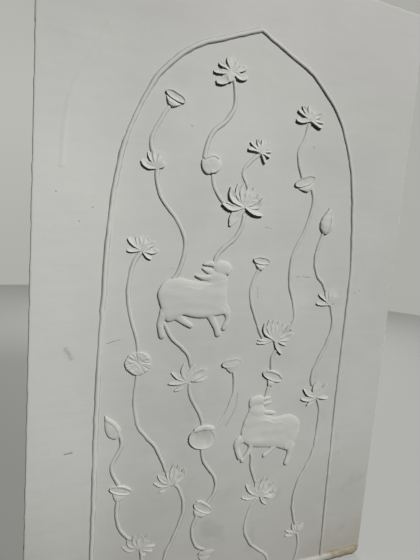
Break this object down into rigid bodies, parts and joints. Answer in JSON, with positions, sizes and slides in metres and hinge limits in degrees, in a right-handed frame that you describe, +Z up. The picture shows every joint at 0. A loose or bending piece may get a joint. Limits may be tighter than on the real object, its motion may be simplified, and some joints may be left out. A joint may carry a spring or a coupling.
{
  "type": "clay relief mural",
  "caption": "Tall flat panel of whitewashed clay with wavy lotus stems, flowers, seed pods and cows in low relief inside a raised pointed arch, to hang or fix on a wall.",
  "frame": {"origin": "centre of the flat back face, which lies against the wall", "axes": "+Z up the panel, -Y out of the wall towards the viewer, +X to the viewer's right"},
  "size_m": [1.22, 0.0333, 2],
  "materials": {
    "whitewashed_clay": "matt hand-smoothed clay under a coat of limewash, grey-white, dirtier towards the bottom"
  },
  "bodies": {
    "root": {"relief_panel": "whitewashed_clay"}
  },
  "joints": []
}
